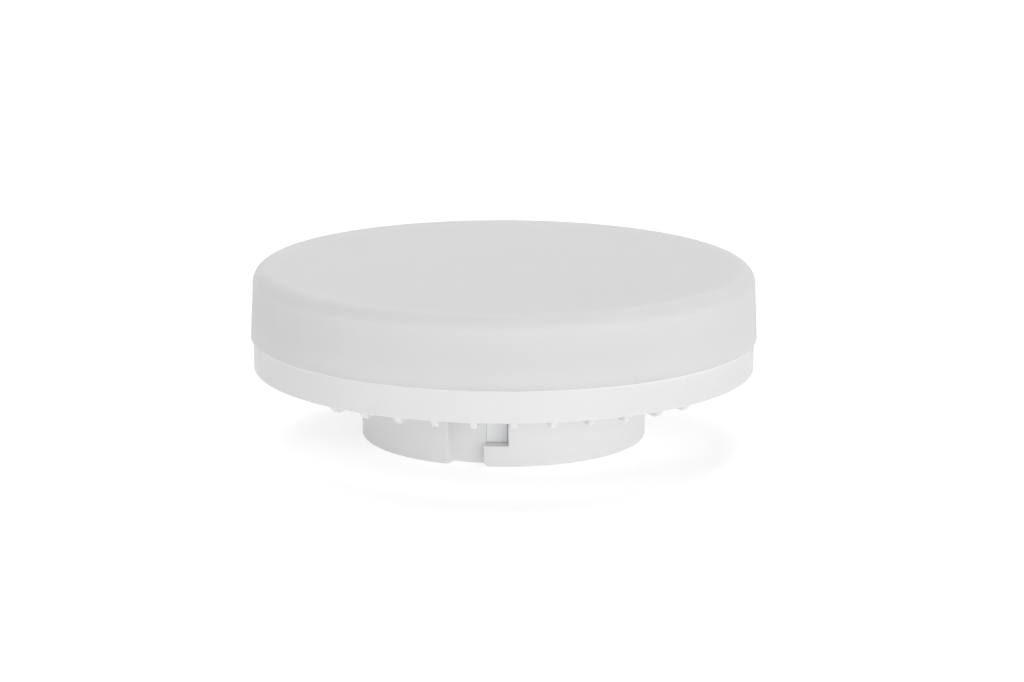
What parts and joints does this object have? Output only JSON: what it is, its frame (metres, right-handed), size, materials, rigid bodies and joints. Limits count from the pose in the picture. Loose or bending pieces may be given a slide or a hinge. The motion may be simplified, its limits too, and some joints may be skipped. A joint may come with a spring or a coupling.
{
  "type": "led disc lamp",
  "caption": "Flat round LED lamp with an opal diffuser, a finned white housing, a twist-lock hub with L-shaped slots and a pair of mushroom contact pins.",
  "frame": {"origin": "middle of the hub's end face, which is also the bottom of the lamp's box", "axes": "+Z from the hub towards the diffuser, +X from the neutral pin towards the live pin, and the two slots of the twist lock face -Y and +Y"},
  "size_m": [0.075, 0.075, 0.0256],
  "materials": {
    "white_housing": "fine satin moulded white",
    "opal_diffuser": "opal, fine matt",
    "insulating_liner": "pale satin",
    "contact_plating": "nickel plated",
    "pressed_aluminium": "rolled sheet",
    "white_board_mask": "white solder mask",
    "led_phosphor": "yellow phosphor",
    "screw_steel": "zinc plated",
    "green_board": "green solder mask",
    "component_black": "moulded epoxy",
    "capacitor_sleeve": "shrink sleeve",
    "ferrite": "sintered",
    "winding_copper": "enamelled copper",
    "film_box": "moulded box",
    "resistor_lacquer": "lacquered",
    "varistor_coating": "epoxy coating",
    "live_insulation": "lead insulation",
    "neutral_insulation": "lead insulation"
  },
  "bodies": {
    "root": {"housing": "white_housing", "diffuser": "opal_diffuser", "driver_cup": "insulating_liner", "contact_pin_live": "contact_plating", "contact_pin_neutral": "contact_plating", "heat_spreader": "pressed_aluminium", "led_board": "white_board_mask", "led_01": "led_phosphor", "led_02": "led_phosphor", "led_03": "led_phosphor", "led_04": "led_phosphor", "led_05": "led_phosphor", "led_06": "led_phosphor", "led_07": "led_phosphor", "led_08": "led_phosphor", "led_09": "led_phosphor", "led_10": "led_phosphor", "led_11": "led_phosphor", "led_12": "led_phosphor", "led_13": "led_phosphor", "led_14": "led_phosphor", "led_15": "led_phosphor", "led_16": "led_phosphor", "led_17": "led_phosphor", "led_18": "led_phosphor", "board_screw_1": "screw_steel", "board_screw_2": "screw_steel", "board_screw_3": "screw_steel", "board_screw_4": "screw_steel", "driver_board": "green_board", "output_header": "component_black", "board_connector": "white_board_mask", "bulk_capacitor": "capacitor_sleeve", "output_capacitor": "capacitor_sleeve", "inductor_core": "ferrite", "inductor_winding": "winding_copper", "film_capacitor": "film_box", "bridge_rectifier": "component_black", "driver_ic": "component_black", "fusible_resistor": "resistor_lacquer", "varistor": "varistor_coating", "input_lead_live": "live_insulation", "input_lead_neutral": "neutral_insulation"}
  },
  "joints": []
}
